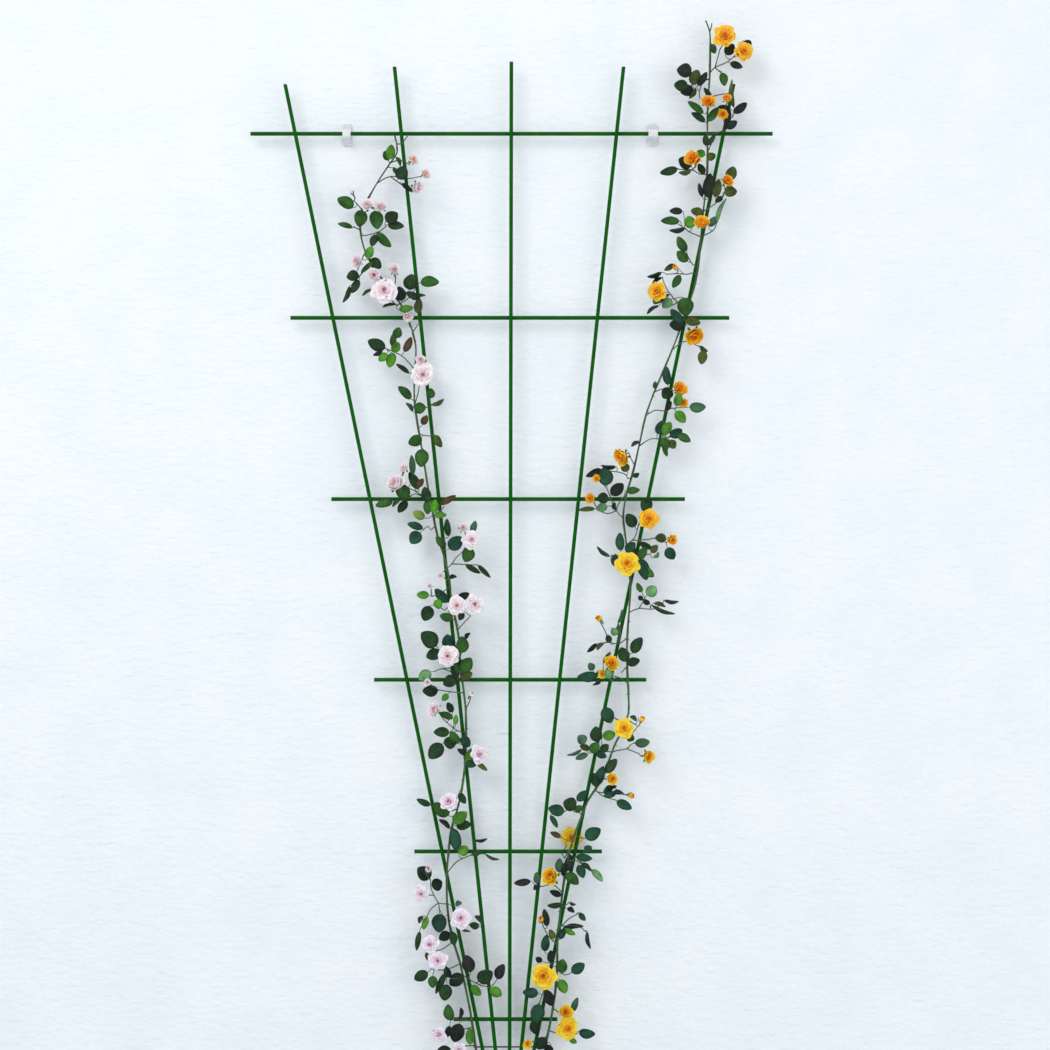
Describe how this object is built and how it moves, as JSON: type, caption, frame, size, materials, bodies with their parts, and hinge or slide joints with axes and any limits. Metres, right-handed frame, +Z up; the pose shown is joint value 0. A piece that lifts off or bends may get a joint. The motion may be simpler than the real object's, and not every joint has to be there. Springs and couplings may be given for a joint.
{
  "type": "climbing rose on a trellis",
  "caption": "Fan trellis of green coated rods on two wall hooks, with a pink and a yellow climbing rose trained up its sides in full leaf and bloom.",
  "frame": {"origin": "middle of the flat foot of the middle upright", "axes": "+Z up the middle upright, +Y towards the wall that the trellis hangs on, +X to the right seen from the front"},
  "size_m": [0.8365, 0.0817, 1.7454],
  "materials": {
    "trellis_coating": "smooth satin coating on steel rod",
    "dark_wire": "thin coated wire",
    "hook_plastic": "clear, slightly clouded",
    "cane_bark": "green bark ageing to brown",
    "leaf": "waxy leaf, veined",
    "pink_petal": "soft matt petal",
    "yellow_petal": "soft matt petal"
  },
  "bodies": {
    "root": {"upright_1": "trellis_coating", "upright_2": "trellis_coating", "upright_3": "trellis_coating", "upright_4": "trellis_coating", "upright_5": "trellis_coating", "crossbar_1": "trellis_coating", "crossbar_2": "trellis_coating", "crossbar_3": "trellis_coating", "crossbar_4": "trellis_coating", "crossbar_5": "trellis_coating", "crossbar_6": "trellis_coating", "foot_wire": "dark_wire", "wall_hook_left": "hook_plastic", "wall_hook_right": "hook_plastic", "pink_cane": "cane_bark", "yellow_cane": "cane_bark", "pink_leafy_stem_low": "leaf", "pink_leafy_stem_middle": "leaf", "pink_leafy_stem_top": "leaf", "yellow_leafy_stem_low": "leaf", "yellow_leafy_stem_middle": "leaf", "yellow_leafy_stem_top": "leaf", "pink_bloom_01": "pink_petal", "pink_bloom_02": "pink_petal", "pink_bloom_03": "pink_petal", "pink_bloom_04": "pink_petal", "pink_bloom_05": "pink_petal", "pink_bloom_06": "pink_petal", "pink_bloom_07": "pink_petal", "pink_bloom_08": "pink_petal", "pink_bloom_09": "pink_petal", "pink_bloom_10": "pink_petal", "pink_bloom_11": "pink_petal", "pink_bloom_12": "pink_petal", "pink_bloom_13": "pink_petal", "pink_bloom_14": "pink_petal", "pink_bloom_15": "pink_petal", "pink_bloom_16": "pink_petal", "pink_bloom_17": "pink_petal", "pink_bloom_18": "pink_petal", "pink_bloom_19": "pink_petal", "yellow_bloom_01": "yellow_petal", "yellow_bloom_02": "yellow_petal", "yellow_bloom_03": "yellow_petal", "yellow_bloom_04": "yellow_petal", "yellow_bloom_05": "yellow_petal", "yellow_bloom_06": "yellow_petal", "yellow_bloom_07": "yellow_petal", "yellow_bloom_08": "yellow_petal", "yellow_bloom_09": "yellow_petal", "yellow_bloom_10": "yellow_petal", "yellow_bloom_11": "yellow_petal", "yellow_bloom_12": "yellow_petal", "yellow_bloom_13": "yellow_petal", "yellow_bloom_14": "yellow_petal", "yellow_bloom_15": "yellow_petal", "yellow_bloom_16": "yellow_petal", "yellow_bloom_17": "yellow_petal", "yellow_bloom_18": "yellow_petal", "yellow_bloom_19": "yellow_petal"}
  },
  "joints": []
}
